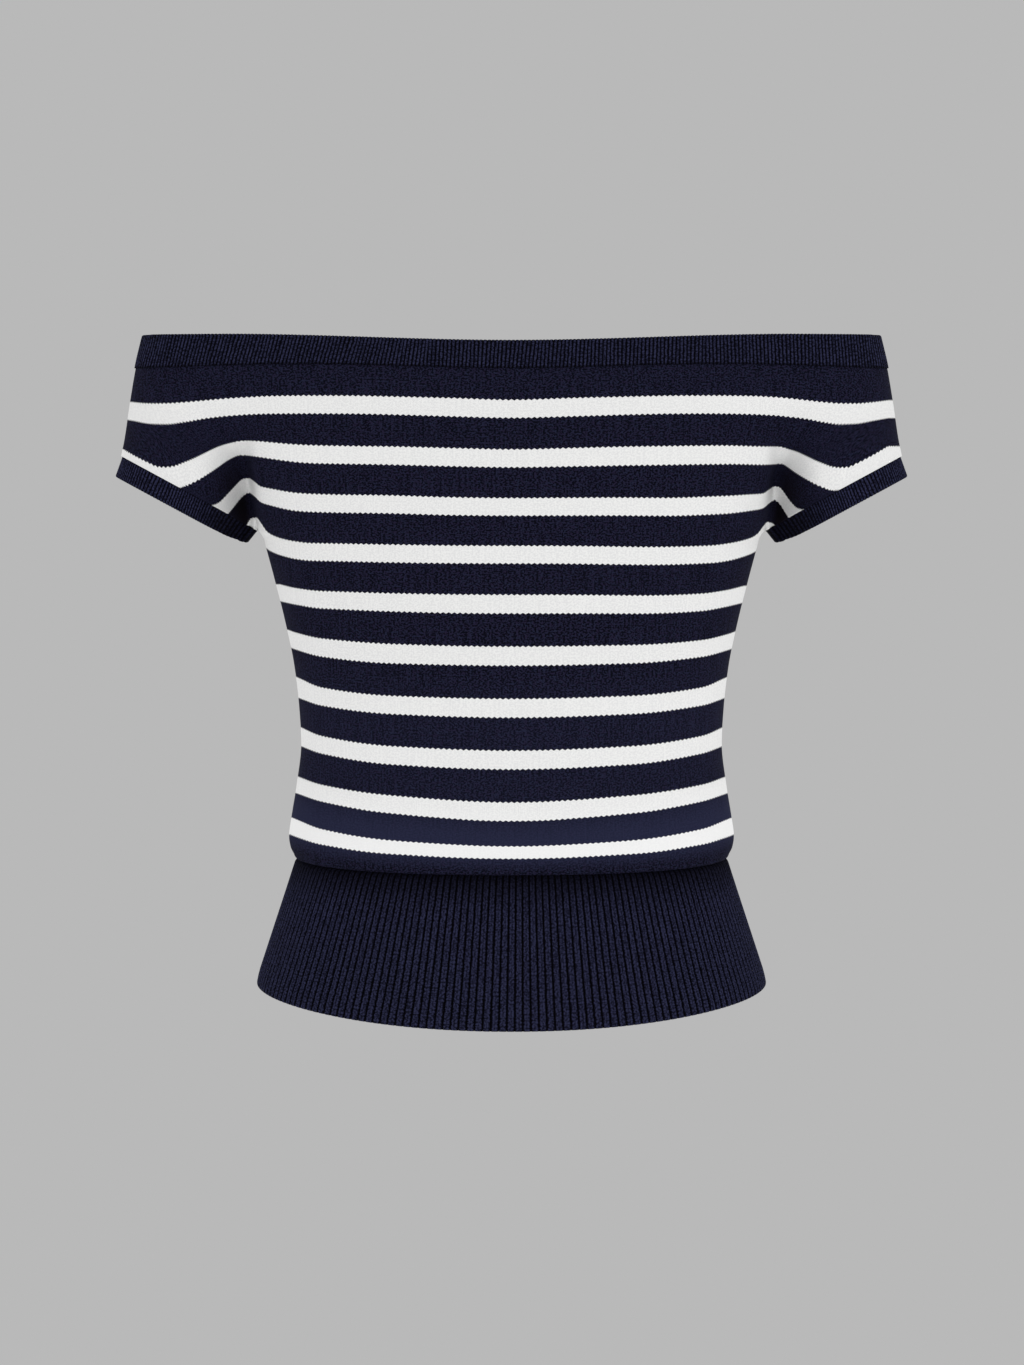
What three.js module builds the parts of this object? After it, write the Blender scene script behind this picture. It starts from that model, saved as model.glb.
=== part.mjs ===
// Off-shoulder knitted top, filled out as it is worn, with nobody in it.
// Millimetres, +Z up, the front faces -Y and +X is the wearer's left. The origin is the middle of
// the neck band: on the centre line, halfway from front to back, at the band's half height.
// The pieces are those a knitwear maker joins: front, back, neck band, two cuffs and a hem rib.
import * as THREE from 'three';

// Cloth
const JERSEY_THICKNESS = 1.6;
const NECK_RIB_THICKNESS = 2.2;
const CUFF_RIB_THICKNESS = 2.0;
const HEM_RIB_THICKNESS = 1.8;
const SEAM_GAP = 0.3;
const LEAST_SLANT = 0.5;

// Ribs: how many go round each band, and how far each one stands out
const NECK_RIBS = 160;
const NECK_RIB_RAISE = 0.5;
const CUFF_RIBS = 40;
const CUFF_RIB_RAISE = 0.5;
const HEM_RIBS = 180;
const HEM_RIB_RAISE = 1.0;

// Neckline: the band's lower edge is level, its upper edge dips at the centre
const NECK_BAND_BOTTOM = -10.2;
const NECK_BAND_TOP = 8.5;
const NECK_DIP = 3.7;
const NECK_DIP_HALF_WIDTH = 168;
const NECK_BACK_DROP = 0.8;

// Cuff: the slanting edge of the sleeve runs from the underarm up to the outside of the arm
const UNDERARM_Z = -109;
const CUFF_OUTSIDE_Z = -64;
const CUFF_WIDTH = 12.5;
const CUFF_TUCK = 1.4;
const CUFF_TAPER = 1.8;
const CUFF_LIFT = 0.068;
const CUFF_LIFT_START = 0.2;

// Body section: a rounded rectangle of this exponent, and how softly the body runs into the arm
const ROUNDNESS = 2.25;
const BLEND_AT_UNDERARM = 4;
const BLEND_AT_NECK = 24;
const BLEND_DEPTH = 12;
const CREASE_HALVINGS = 40;

// Hollow of the underarm: the cloth sinks in beside the body, steeply there and gently up the arm
const HOLLOW = { x: 158, share: 0.65, bodySide: 4.5, armSide: 12, top: -45, full: -95 };

// Waist seam: the ring on which the blouse, turned under, meets the hem rib
const WAIST_SEAM = { z: -300, halfWidth: 126.9, front: 88, back: 70 };
const FOLD_RADIUS = 2.5;
const FOLD_CENTRE = { z: -303.9, out: 2.7 };
const WAIST_LAP = 1.0;
const HEM_Z = -383.4;
const HEM_DIP = 10.7;

// Body section at each height
const TORSO = [
  { z: 10, halfWidth: 216, front: 82, back: 80 },
  { z: -10, halfWidth: 211, front: 86, back: 82 },
  { z: -30, halfWidth: 199, front: 91, back: 84 },
  { z: -54, halfWidth: 180, front: 97, back: 85 },
  { z: -80, halfWidth: 163, front: 102, back: 85 },
  { z: -100, halfWidth: 155, front: 104.5, back: 84.5 },
  { z: -109, halfWidth: 152.3, front: 105, back: 84 },
  { z: -112, halfWidth: 149.8, front: 105.2, back: 83.8 },
  { z: -120, halfWidth: 147.6, front: 105.3, back: 83 },
  { z: -139, halfWidth: 142.6, front: 104.3, back: 80.5 },
  { z: -160, halfWidth: 137.4, front: 101, back: 77.5 },
  { z: -190, halfWidth: 131.3, front: 94.5, back: 73 },
  { z: -215, halfWidth: 128.5, front: 89.8, back: 69.8 },
  { z: -237, halfWidth: 127.4, front: 87.8, back: 68.6 },
  { z: -262, halfWidth: 130.2, front: 89.8, back: 70.8 },
  { z: -282, halfWidth: 133.5, front: 93.6, back: 75.2 },
  { z: -294, halfWidth: 135, front: 95.7, back: 77.6 },
  { z: -300, halfWidth: 134.1, front: 94.9, back: 76.9 },
  { z: -304, halfWidth: 132.1, front: 93.2, back: 75.2 },
];

// Upper arm section at each height: where it starts and ends across the body, and its depth
const ARM = [
  { z: 10, inner: 112, outer: 220.7, front: 53, back: 51 },
  { z: -10, inner: 118, outer: 225.6, front: 54, back: 52 },
  { z: -30, inner: 125, outer: 229.2, front: 54, back: 52 },
  { z: -54, inner: 133.5, outer: 233, front: 52.5, back: 50.5 },
  { z: -66, inner: 138, outer: 235.5, front: 51, back: 49 },
  { z: -86, inner: 145, outer: 238.2, front: 48.5, back: 47 },
  { z: -109, inner: 152.3, outer: 240.5, front: 46, back: 45 },
  { z: -125, inner: 158, outer: 242, front: 44, back: 43 },
];

// Height of each row of the panels, from the neckline to the underarm and on to the blouse
const YOKE_ROWS = [-27, -44, -62, -78, -90, -99, -105];
const BODY_ROWS = [-112, -118, -132, -155, -180, -208, -236, -262, -284, -294, -300, -304];
const FOLD_STEPS = 4;
const BODY_COLUMNS = 18;
const SLEEVE_COLUMNS = 8;

// Hem rib: how far each row stands outside the waist seam, at the sides and at the centre
const HEM_RIB_ROWS = [
  { z: -300, out: 0, centreOut: 0 },
  { z: -305, out: 0.2, centreOut: 0.2 },
  { z: -309, out: 4.4, centreOut: 0.8 },
  { z: -326, out: 9.9, centreOut: 7 },
  { z: HEM_Z, out: 28.4, centreOut: 28.4 },
];

const FRONT = -1;
const BACK = 1;
const NAVY = 0x1b1d34;
const RIB_NAVY = 0x1a1c31;

const mix = (a, b, t) => a + (b - a) * t;
const clamp01 = (t) => Math.min(1, Math.max(0, t));
const smooth = (t) => clamp01(t) ** 2 * (3 - 2 * clamp01(t));

// Smooth curve through one column of a table: a cubic in each interval whose slopes never overshoot
function column(table, name) {
  const rows = [...table].sort((a, b) => a.z - b.z);
  const slope = rows.slice(1).map((row, i) => (row[name] - rows[i][name]) / (row.z - rows[i].z));
  const tangent = rows.map((row, i) => {
    if (i === 0) return slope[0];
    if (i === slope.length) return slope[i - 1];
    const [before, after] = [slope[i - 1], slope[i]];
    return before * after <= 0 ? 0 : (2 * before * after) / (before + after);
  });
  return (z) => {
    const found = rows.findIndex((row) => row.z > z);
    const i = Math.max(0, (found < 0 ? rows.length - 1 : found) - 1);
    const step = rows[i + 1].z - rows[i].z;
    const t = clamp01((z - rows[i].z) / step);
    const a = rows[i][name];
    const b = rows[i + 1][name];
    const bend = (1 - t) * tangent[i] - t * tangent[i + 1];
    return mix(a, b, t) + t * (1 - t) * ((1 - 2 * t) * (a - b) + bend * step);
  };
}

const torsoHalfWidth = column(TORSO, 'halfWidth');
const armInner = column(ARM, 'inner');
const armOuter = column(ARM, 'outer');
const depthColumns = {
  [FRONT]: { torso: column(TORSO, 'front'), arm: column(ARM, 'front') },
  [BACK]: { torso: column(TORSO, 'back'), arm: column(ARM, 'back') },
};

// Depth of a rounded section at a share q of its half width, negative outside it
function sectionDepth(q, depth, exponent) {
  const inside = 1 - Math.abs(q) ** exponent;
  return depth * Math.sign(inside) * Math.abs(inside) ** (1 / exponent);
}

function torsoDepth(x, z, side) {
  return sectionDepth(x / torsoHalfWidth(z), depthColumns[side].torso(z), ROUNDNESS);
}

function armDepth(x, z, side) {
  const middle = (armInner(z) + armOuter(z)) / 2;
  const half = (armOuter(z) - armInner(z)) / 2;
  return sectionDepth((Math.abs(x) - middle) / half, depthColumns[side].arm(z), 2);
}

// The cloth runs over whichever of body and arm is further out, and bridges softly where they meet
function clothDepth(x, z, side) {
  const torso = torsoDepth(x, z, side);
  const arm = armDepth(x, z, side);
  const most = Math.max(torso, arm, 0);
  const rise = smooth((z - UNDERARM_Z) / (NECK_BAND_BOTTOM - UNDERARM_Z));
  const reach = mix(BLEND_AT_UNDERARM, BLEND_AT_NECK, rise) * clamp01(most / BLEND_DEPTH);
  const near = reach > 0 ? Math.max(0, 1 - Math.abs(torso - arm) / reach) : 0;
  return (most + (reach * near * near) / 4) * (1 - hollow(x, z));
}

// Share of the depth that is lost in the hollow of the underarm
function hollow(x, z) {
  const away = Math.abs(x) - HOLLOW.x;
  const width = away < 0 ? HOLLOW.bodySide : HOLLOW.armSide;
  const deep = smooth((HOLLOW.top - z) / (HOLLOW.top - HOLLOW.full));
  return HOLLOW.share * deep * Math.exp(-((away / width) ** 2));
}

// Where the crease between body and arm lies at one height: their depths are equal there
function creaseX(z, side) {
  if (z <= UNDERARM_Z) return armInner(UNDERARM_Z);
  let low = armInner(z);
  let high = torsoHalfWidth(z);
  for (let step = 0; step < CREASE_HALVINGS; step++) {
    const x = (low + high) / 2;
    if (torsoDepth(x, z, side) > armDepth(x, z, side)) low = x;
    else high = x;
  }
  return (low + high) / 2;
}

// The sleeve's lower edge, seen from the front: a straight line up from the underarm
const cuffInside = new THREE.Vector3(armInner(UNDERARM_Z), 0, UNDERARM_Z);
const cuffOutside = new THREE.Vector3(armOuter(CUFF_OUTSIDE_Z), 0, CUFF_OUTSIDE_Z);
const cuffAcross = cuffOutside.clone().sub(cuffInside).normalize();
const cuffDown = new THREE.Vector3(-cuffAcross.z, 0, cuffAcross.x).negate();

// A point of the sleeve cap, a share t of the way over it. In front view each row is straight
// from the crease to the seam on the outside of the arm. Towards the cuff it is also drawn up
// where the cloth stands out, so that the sleeve's edge looks straight from in front.
function capPoint(z, t, side) {
  const top = NECK_BAND_BOTTOM - SEAM_GAP / 2;
  const up = (z - UNDERARM_Z) / (top - UNDERARM_Z);
  const outsideZ = mix(CUFF_OUTSIDE_Z, top, up);
  const s = mix((1 - Math.cos(Math.PI * t)) / 2, Math.sin((Math.PI / 2) * t), up);
  const flat = new THREE.Vector3(
    mix(creaseX(z, side), armOuter(outsideZ), s), 0, mix(z, outsideZ, s));
  const lift = CUFF_LIFT * (1 - up) * smooth(s / CUFF_LIFT_START) * clothDepth(flat.x, flat.z, side);
  const p = flat.addScaledVector(cuffDown, -lift);
  return p.setY(side * (SEAM_GAP / 2 + clothDepth(p.x, p.z, side)));
}

// A sheet collects shared points and four-sided faces, and may pin the direction of an edge
class Sheet {
  constructor() {
    this.points = [];
    this.faces = [];
    this.pins = new Map();
    this.known = new Map();
  }

  point(p, pin) {
    const key = [p.x, p.y, p.z].map((value) => value.toFixed(3)).join();
    if (!this.known.has(key)) this.known.set(key, this.points.push(p) - 1);
    const index = this.known.get(key);
    if (pin) this.pins.set(index, pin);
    return index;
  }

  // Rows of point numbers to faces; each row has the same number of points. Each face is split
  // from its first corner, so left and right are mirror images.
  weave(rows, flip) {
    for (let j = 0; j + 1 < rows.length; j++) {
      for (let i = 0; i + 1 < rows[j].length; i++) {
        const [a, b, c, d] = [rows[j][i], rows[j][i + 1], rows[j + 1][i + 1], rows[j + 1][i]];
        this.faces.push(flip ? [a, b, c, d] : [a, d, c, b]);
      }
    }
  }
}

// Directions in which an edge may be offset
const level = (n) => n.setZ(0).normalize();
const acrossOnly = (n) => n.setY(0).normalize();
const downwards = (n) => n.set(0, 0, -1);
const levelAcross = (n) => n.set(Math.sign(n.x), 0, 0);
const inCuffPlane = (down) => (n) => n.addScaledVector(down, -n.dot(down)).normalize();
const mirrored = (v, sign) => new THREE.Vector3(v.x * sign, v.y, v.z);

// A closed wall: the sheet is its outside, the inside lies one thickness in, and the edges are
// stitched. In a crease the inside is mitred, so that the wall stays as thick as elsewhere.
// Ribs raise only the outside, by raise(number of the point).
function wallGeometry(sheet, thickness, raise = () => 0) {
  const normals = sheet.points.map(() => new THREE.Vector3());
  const faceNormals = sheet.faces.map(([a, b, c, d]) => {
    const [p, q, r, s] = [a, b, c, d].map((i) => sheet.points[i]);
    return r.clone().sub(p).cross(s.clone().sub(q));
  });
  sheet.faces.forEach((face, f) => face.forEach((i) => normals[i].add(faceNormals[f])));
  normals.forEach((n, i) => {
    n.normalize();
    if (sheet.pins.has(i)) sheet.pins.get(i)(n);
  });
  const slant = sheet.points.map(() => 1);
  sheet.faces.forEach((face, f) => {
    const n = faceNormals[f].normalize();
    face.forEach((i) => {
      slant[i] = Math.min(slant[i], Math.max(LEAST_SLANT, n.dot(normals[i])));
    });
  });

  const count = sheet.points.length;
  const outside = sheet.points.map((p, i) => p.clone().addScaledVector(normals[i], raise(i)));
  const inside = sheet.points.map((p, i) =>
    p.clone().addScaledVector(normals[i], -thickness / (sheet.pins.has(i) ? 1 : slant[i])));
  const triangles = [];
  const quad = (a, b, c, d) => triangles.push(a, b, c, a, c, d);
  const used = new Set();
  for (const [a, b, c, d] of sheet.faces) {
    quad(a, b, c, d);
    quad(d + count, c + count, b + count, a + count);
    for (const [from, to] of [[a, b], [b, c], [c, d], [d, a]]) used.add(`${from} ${to}`);
  }
  for (const edge of used) {
    const [from, to] = edge.split(' ').map(Number);
    if (!used.has(`${to} ${from}`)) quad(to, from, from + count, to + count);
  }

  const geometry = new THREE.BufferGeometry();
  const coordinates = [...outside, ...inside].flatMap((p) => [p.x, p.y, p.z]);
  geometry.setAttribute('position', new THREE.Float32BufferAttribute(coordinates, 3));
  geometry.setIndex(triangles);
  geometry.computeVertexNormals();
  return geometry;
}

// Front or back panel, cut in one with the caps of both sleeves
function panelGeometry(side) {
  const sheet = new Sheet();
  const yokeRows = [NECK_BAND_BOTTOM - SEAM_GAP / 2, ...YOKE_ROWS, UNDERARM_Z];
  const onCloth = (x, z) => new THREE.Vector3(x, side * (SEAM_GAP / 2 + clothDepth(x, z, side)), z);
  const spread = [];
  for (let i = 0; i <= BODY_COLUMNS; i++) {
    const s = Math.sin(Math.PI * (i / BODY_COLUMNS - 0.5));
    spread.push(Math.sign(s) * Math.abs(s) ** (2 / ROUNDNESS));
  }
  const last = BODY_COLUMNS;
  const rows = yokeRows.map((z, j) => spread.map((s, i) => {
    const atUnderarm = z === UNDERARM_Z && (i === 0 || i === last);
    const pin = j === 0 ? level : atUnderarm ? downwards : null;
    return sheet.point(onCloth(s * creaseX(z, side), z), pin);
  }));

  // Below the underarm the rows are whole half rings, and the last ones turn under and up
  const ring = (halfWidth, depth, z, isSeam) => spread.map((s, i) => {
    const y = sectionDepth(s, depth, ROUNDNESS);
    const edge = i === 0 || i === last;
    const pin = isSeam ? (edge ? levelAcross : level) : edge ? acrossOnly : null;
    return sheet.point(new THREE.Vector3(s * halfWidth, side * (SEAM_GAP / 2 + y), z), pin);
  });
  for (const z of BODY_ROWS) rows.push(ring(torsoHalfWidth(z), depthColumns[side].torso(z), z));
  const seamDepth = side === FRONT ? WAIST_SEAM.front : WAIST_SEAM.back;
  for (let step = 1; step <= FOLD_STEPS; step++) {
    const turn = (Math.PI * step) / FOLD_STEPS;
    const out = FOLD_CENTRE.out + FOLD_RADIUS * Math.cos(turn);
    const z = FOLD_CENTRE.z - FOLD_RADIUS * Math.sin(turn);
    rows.push(ring(WAIST_SEAM.halfWidth + out, seamDepth + out, z));
  }
  rows.push(ring(WAIST_SEAM.halfWidth, seamDepth, WAIST_SEAM.z, true));
  sheet.weave(rows, side === BACK);

  // The cap of each sleeve, from the crease to the seam on the outside of the arm
  for (const hand of [-1, 1]) {
    const inPlane = inCuffPlane(mirrored(cuffDown, hand));
    const cap = yokeRows.map((z, j) => {
      const points = [];
      for (let i = 0; i <= SLEEVE_COLUMNS; i++) {
        const p = mirrored(capPoint(z, i / SLEEVE_COLUMNS, side), hand);
        const atCuff = z === UNDERARM_Z && i > 0;
        const atSeam = i === SLEEVE_COLUMNS;
        const pins = [
          ...(j === 0 ? [level] : []), ...(atCuff ? [inPlane] : []), ...(atSeam ? [acrossOnly] : []),
        ];
        points.push(sheet.point(p, pins.length ? (n) => pins.forEach((pin) => pin(n)) : null));
      }
      return points;
    });
    sheet.weave(cap, (side === BACK) !== (hand === -1));
  }
  return wallGeometry(sheet, JERSEY_THICKNESS);
}

// Points spaced evenly along a closed line
function evenly(line, count) {
  const lengths = [0];
  line.forEach((p, i) => lengths.push(lengths[i] + p.distanceTo(line[(i + 1) % line.length])));
  const points = [];
  let k = 0;
  for (let i = 0; i < count; i++) {
    const along = (lengths[line.length] * i) / count;
    while (lengths[k + 1] <= along) k++;
    const t = (along - lengths[k]) / (lengths[k + 1] - lengths[k]);
    points.push(line[k].clone().lerp(line[(k + 1) % line.length], t));
  }
  return points;
}

// A ribbed tube through closed rows of evenly spaced points, two to a rib: ridge and groove
function ribbedTube(lines, ribs, thickness, rib, edgePin, flip) {
  const sheet = new Sheet();
  const rows = lines.map((line, j) => {
    const isEdge = j === 0 || j === lines.length - 1;
    const row = evenly(line, 2 * ribs).map((p) => sheet.point(p, isEdge ? edgePin : null));
    return [...row, row[0]];
  });
  sheet.weave(rows, flip);
  const ridges = new Map();
  rows.forEach((row, j) => row.slice(0, -1).forEach((point, i) => {
    ridges.set(point, i % 2 ? 0 : rib(j));
  }));
  return wallGeometry(sheet, thickness, (i) => ridges.get(i));
}

const LINE_STEPS = 720;

// Closed line round the shoulders at one share of the neck band's height
function neckLine(up) {
  const line = [];
  for (let i = 0; i < LINE_STEPS; i++) {
    const turn = (2 * Math.PI * i) / LINE_STEPS;
    const side = Math.sin(turn) > 0 ? BACK : FRONT;
    const across = Math.cos(turn);
    const dip = NECK_DIP * (1 - smooth(Math.abs(across * armOuter(0)) / NECK_DIP_HALF_WIDTH));
    const drop = side === BACK ? NECK_BACK_DROP * Math.sin(turn) : 0;
    const top = NECK_BAND_TOP - dip - drop;
    const z = mix(NECK_BAND_BOTTOM + SEAM_GAP / 2, top, up);
    const x = across * armOuter(z);
    line.push(new THREE.Vector3(x, side * clothDepth(x, z, side), z));
  }
  return line;
}

// Closed line round the sleeve's end, a share of the cuff's width below the sleeve's edge: the
// edge's own points, from the outside of the arm over its back to the underarm and on round
function cuffLine(hand, share) {
  const middle = cuffInside.clone().lerp(cuffOutside, 0.5);
  const half = cuffInside.distanceTo(cuffOutside) / 2;
  const shrink = 1 - (CUFF_TUCK + CUFF_TAPER * share) / half;
  const line = [];
  for (let i = 0; i < 2 * SLEEVE_COLUMNS; i++) {
    const side = i < SLEEVE_COLUMNS ? BACK : FRONT;
    const edge = capPoint(UNDERARM_Z, Math.abs(1 - i / SLEEVE_COLUMNS), side);
    const p = edge.sub(middle).multiplyScalar(shrink).add(middle);
    p.addScaledVector(cuffDown, SEAM_GAP + (CUFF_WIDTH - SEAM_GAP) * share);
    line.push(mirrored(p, hand));
  }
  return line;
}

// Closed ring of the hem rib; the hem itself hangs lower at the centre front and back
function hemLine({ z, out, centreOut }) {
  const isHem = z === HEM_Z;
  const halfWidth = WAIST_SEAM.halfWidth - WAIST_LAP + out;
  const line = [];
  for (let i = 0; i < LINE_STEPS; i++) {
    const turn = (2 * Math.PI * i) / LINE_STEPS;
    const depth = (Math.sin(turn) > 0 ? WAIST_SEAM.back : WAIST_SEAM.front) - WAIST_LAP + centreOut;
    const x = Math.sign(Math.cos(turn)) * Math.abs(Math.cos(turn)) ** (2 / ROUNDNESS);
    const y = Math.sign(Math.sin(turn)) * Math.abs(Math.sin(turn)) ** (2 / ROUNDNESS);
    const dip = isHem ? HEM_DIP * (1 - x * x) : 0;
    line.push(new THREE.Vector3(halfWidth * x, depth * y, z - dip));
  }
  return line;
}

function piece(name, geometry, color) {
  const mesh = new THREE.Mesh(
    geometry, new THREE.MeshStandardMaterial({ color, roughness: 0.85, metalness: 0 }));
  mesh.name = name;
  return mesh;
}

const top = new THREE.Group();
top.name = 'off_shoulder_top';
top.add(piece('front', panelGeometry(FRONT), NAVY));
top.add(piece('back', panelGeometry(BACK), NAVY));

const neckRib = ribbedTube(
  [neckLine(0), neckLine(1)], NECK_RIBS, NECK_RIB_THICKNESS, () => NECK_RIB_RAISE, level, true);
top.add(piece('neck_band', neckRib, RIB_NAVY));

for (const [name, hand] of [['cuff_left', 1], ['cuff_right', -1]]) {
  const inPlane = inCuffPlane(mirrored(cuffDown, hand));
  const cuff = ribbedTube(
    [cuffLine(hand, 0), cuffLine(hand, 1)], CUFF_RIBS, CUFF_RIB_THICKNESS,
    () => CUFF_RIB_RAISE, inPlane, hand === -1);
  top.add(piece(name, cuff, RIB_NAVY));
}

// The rib is flat where it is sewn in under the blouse and stands out below it
const hemRib = ribbedTube(
  HEM_RIB_ROWS.map(hemLine), HEM_RIBS, HEM_RIB_THICKNESS,
  (row) => (row < 2 ? 0 : HEM_RIB_RAISE), level, false);
top.add(piece('hem_rib', hemRib, RIB_NAVY));

export default top;
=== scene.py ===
import math

import bpy
import numpy as np
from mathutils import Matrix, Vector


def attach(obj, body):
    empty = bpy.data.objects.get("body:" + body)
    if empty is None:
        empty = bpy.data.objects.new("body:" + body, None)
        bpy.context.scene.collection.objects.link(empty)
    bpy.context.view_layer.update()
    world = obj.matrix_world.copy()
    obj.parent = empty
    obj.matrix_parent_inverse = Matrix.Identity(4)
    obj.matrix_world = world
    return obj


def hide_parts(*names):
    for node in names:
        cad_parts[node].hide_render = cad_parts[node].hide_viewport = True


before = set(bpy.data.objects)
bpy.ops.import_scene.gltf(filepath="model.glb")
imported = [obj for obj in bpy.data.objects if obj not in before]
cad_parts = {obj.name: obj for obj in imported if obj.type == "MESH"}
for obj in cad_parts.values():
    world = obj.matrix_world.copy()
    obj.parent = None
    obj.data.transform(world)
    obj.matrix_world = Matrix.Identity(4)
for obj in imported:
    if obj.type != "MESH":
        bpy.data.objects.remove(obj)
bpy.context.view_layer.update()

# Camera
# The top is seen from straight in front through a long lens, level with its neck and turned a
# little down. The photograph is 1024 by 1365 pixels, so the sensor's 36 mm lie along its height.
# The camera's place is in metres.
PHOTO_HEIGHT_PIXELS = 1365
FOCAL_PIXELS = 3630
SENSOR_LONG_SIDE = 36.0
CAMERA_PLACE = (0.0003, -2.1926, -0.0207)
LOOK_DOWN_DEGREES = 4.7

lens = bpy.data.cameras.new("camera")
lens.lens = SENSOR_LONG_SIDE * FOCAL_PIXELS / PHOTO_HEIGHT_PIXELS
lens.sensor_width = SENSOR_LONG_SIDE
camera = bpy.data.objects.new("camera", lens)
camera.location = CAMERA_PLACE
camera.rotation_euler = (math.radians(90 - LOOK_DOWN_DEGREES), 0, 0)
bpy.context.scene.collection.objects.link(camera)
bpy.context.scene.camera = camera

# Striped panels
# Front and back are fine jersey, navy with ten off-white stripes, each knitted in one with its
# half of both cap sleeves and linked along the sides and over the arms. At the waist the cloth
# blouses, turns under and is joined to the hem rib. All sizes are in mm.
FRONT, BACK = -1, 1
MM = 0.001
JERSEY_THICKNESS = 1.5
# The panels run on a little way under the neck band
NECK_SEAM_Z, PANEL_TOP_Z = -10.2, -8.2
UNDERARM_Z = -109.0
CUFF_OUTSIDE_Z = -64.0
CUFF_LIFT, CUFF_LIFT_START = 0.068, 0.2
# Hollow of the underarm: where, share of the depth lost, width to body and arm, top and full depth
HOLLOW_X, HOLLOW_SHARE, HOLLOW_BODY_SIDE, HOLLOW_ARM_SIDE = 158.0, 0.65, 4.5, 12.0
HOLLOW_TOP, HOLLOW_FULL = -45.0, -95.0
ROUNDNESS = 2.25
BLEND_AT_UNDERARM, BLEND_AT_NECK, BLEND_DEPTH = 4.0, 24.0, 12.0
# Body section: height, half width, depth of the front, depth of the back
TORSO = np.array([
    (10, 216, 82, 80), (-10, 211, 86, 82), (-30, 199, 91, 84), (-54, 180, 97, 85),
    (-80, 163, 102, 85), (-100, 155, 104.5, 84.5), (-109, 152.3, 105, 84),
    (-112, 149.8, 105.2, 83.8), (-120, 147.6, 105.3, 83), (-139, 142.6, 104.3, 80.5),
    (-160, 137.4, 101, 77.5), (-190, 131.3, 94.5, 73), (-215, 128.5, 89.8, 69.8),
    (-237, 127.4, 87.8, 68.6), (-262, 130.2, 89.8, 70.8), (-282, 133.5, 93.6, 75.2),
    (-294, 135, 95.7, 77.6), (-300, 134.1, 94.9, 76.9), (-304, 132.1, 93.2, 75.2),
])
# Upper arm section: height, where it starts and ends across the body, depth of front and back
ARM = np.array([
    (10, 112, 220.7, 53, 51), (-10, 118, 225.6, 54, 52), (-30, 125, 229.2, 54, 52),
    (-54, 133.5, 233, 52.5, 50.5), (-66, 138, 235.5, 51, 49), (-86, 145, 238.2, 48.5, 47),
    (-109, 152.3, 240.5, 46, 45), (-125, 158, 242, 44, 43),
])
# Waist: where the turned-under cloth is joined, and the soft fold at the foot of the blouse
WAIST_Z, WAIST_HALF_WIDTH, WAIST_DEPTH = -300.0, 126.9, {FRONT: 88.0, BACK: 70.0}
FOLD_Z, FOLD_OUT, FOLD_RADIUS = -303.9, 2.7, 2.5
YOKE_ROWS, BODY_ROWS, FOLD_ROWS = 56, 104, 12
BODY_COLUMNS, SLEEVE_COLUMNS = 190, 56
CREASE_HALVINGS = 40
SHARP_DEGREES = 62


def curve_through(at, values):
    """A smooth curve through a table: in each interval a cubic, whose slope at a knot is the
    harmonic mean of the slopes on both sides, and level where they turn."""
    order = np.argsort(at)
    at, values = np.asarray(at, float)[order], np.asarray(values, float)[order]
    step = np.diff(at)
    slope = np.diff(values) / step
    product, total = slope[:-1] * slope[1:], slope[:-1] + slope[1:]
    inner = np.where(product > 0, 2 * product / np.where(total == 0, 1, total), 0)
    tangent = np.concatenate([slope[:1], inner, slope[-1:]])

    def curve(x):
        i = np.clip(np.searchsorted(at, x, side="right") - 1, 0, len(step) - 1)
        t = np.clip((x - at[i]) / step[i], 0, 1)
        low, high = values[i], values[i + 1]
        bend = (1 - t) * tangent[i] - t * tangent[i + 1]
        return low + (high - low) * t + t * (1 - t) * ((1 - 2 * t) * (low - high) + bend * step[i])

    return curve


def mix(a, b, t):
    """From a to b by a share t."""
    return a + (b - a) * t


def ease(t):
    """Nought up to 0, one from 1, and three t squared less two t cubed between."""
    t = np.clip(t, 0, 1)
    return t * t * (3 - 2 * t)


torso_half_width = curve_through(TORSO[:, 0], TORSO[:, 1])
arm_inner = curve_through(ARM[:, 0], ARM[:, 1])
arm_outer = curve_through(ARM[:, 0], ARM[:, 2])
torso_depth_of = {FRONT: curve_through(TORSO[:, 0], TORSO[:, 2]),
                  BACK: curve_through(TORSO[:, 0], TORSO[:, 3])}
arm_depth_of = {FRONT: curve_through(ARM[:, 0], ARM[:, 3]),
                BACK: curve_through(ARM[:, 0], ARM[:, 4])}


def section_depth(share, depth, roundness):
    """Depth of a rounded section at a share of its half width: the depth times the root, of
    order roundness, of one less the share to that power. It is below zero outside."""
    inside = 1 - np.abs(share) ** roundness
    return depth * np.sign(inside) * np.abs(inside) ** (1 / roundness)


def torso_depth(x, z, side):
    """Depth of the body's rounded section at one height."""
    return section_depth(x / torso_half_width(z), torso_depth_of[side](z), ROUNDNESS)


def arm_depth(x, z, side):
    """Depth of the upper arm's oval section at one height, the same for both arms."""
    middle = (arm_inner(z) + arm_outer(z)) / 2
    half = (arm_outer(z) - arm_inner(z)) / 2
    return section_depth((np.abs(x) - middle) / half, arm_depth_of[side](z), 2)


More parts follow.
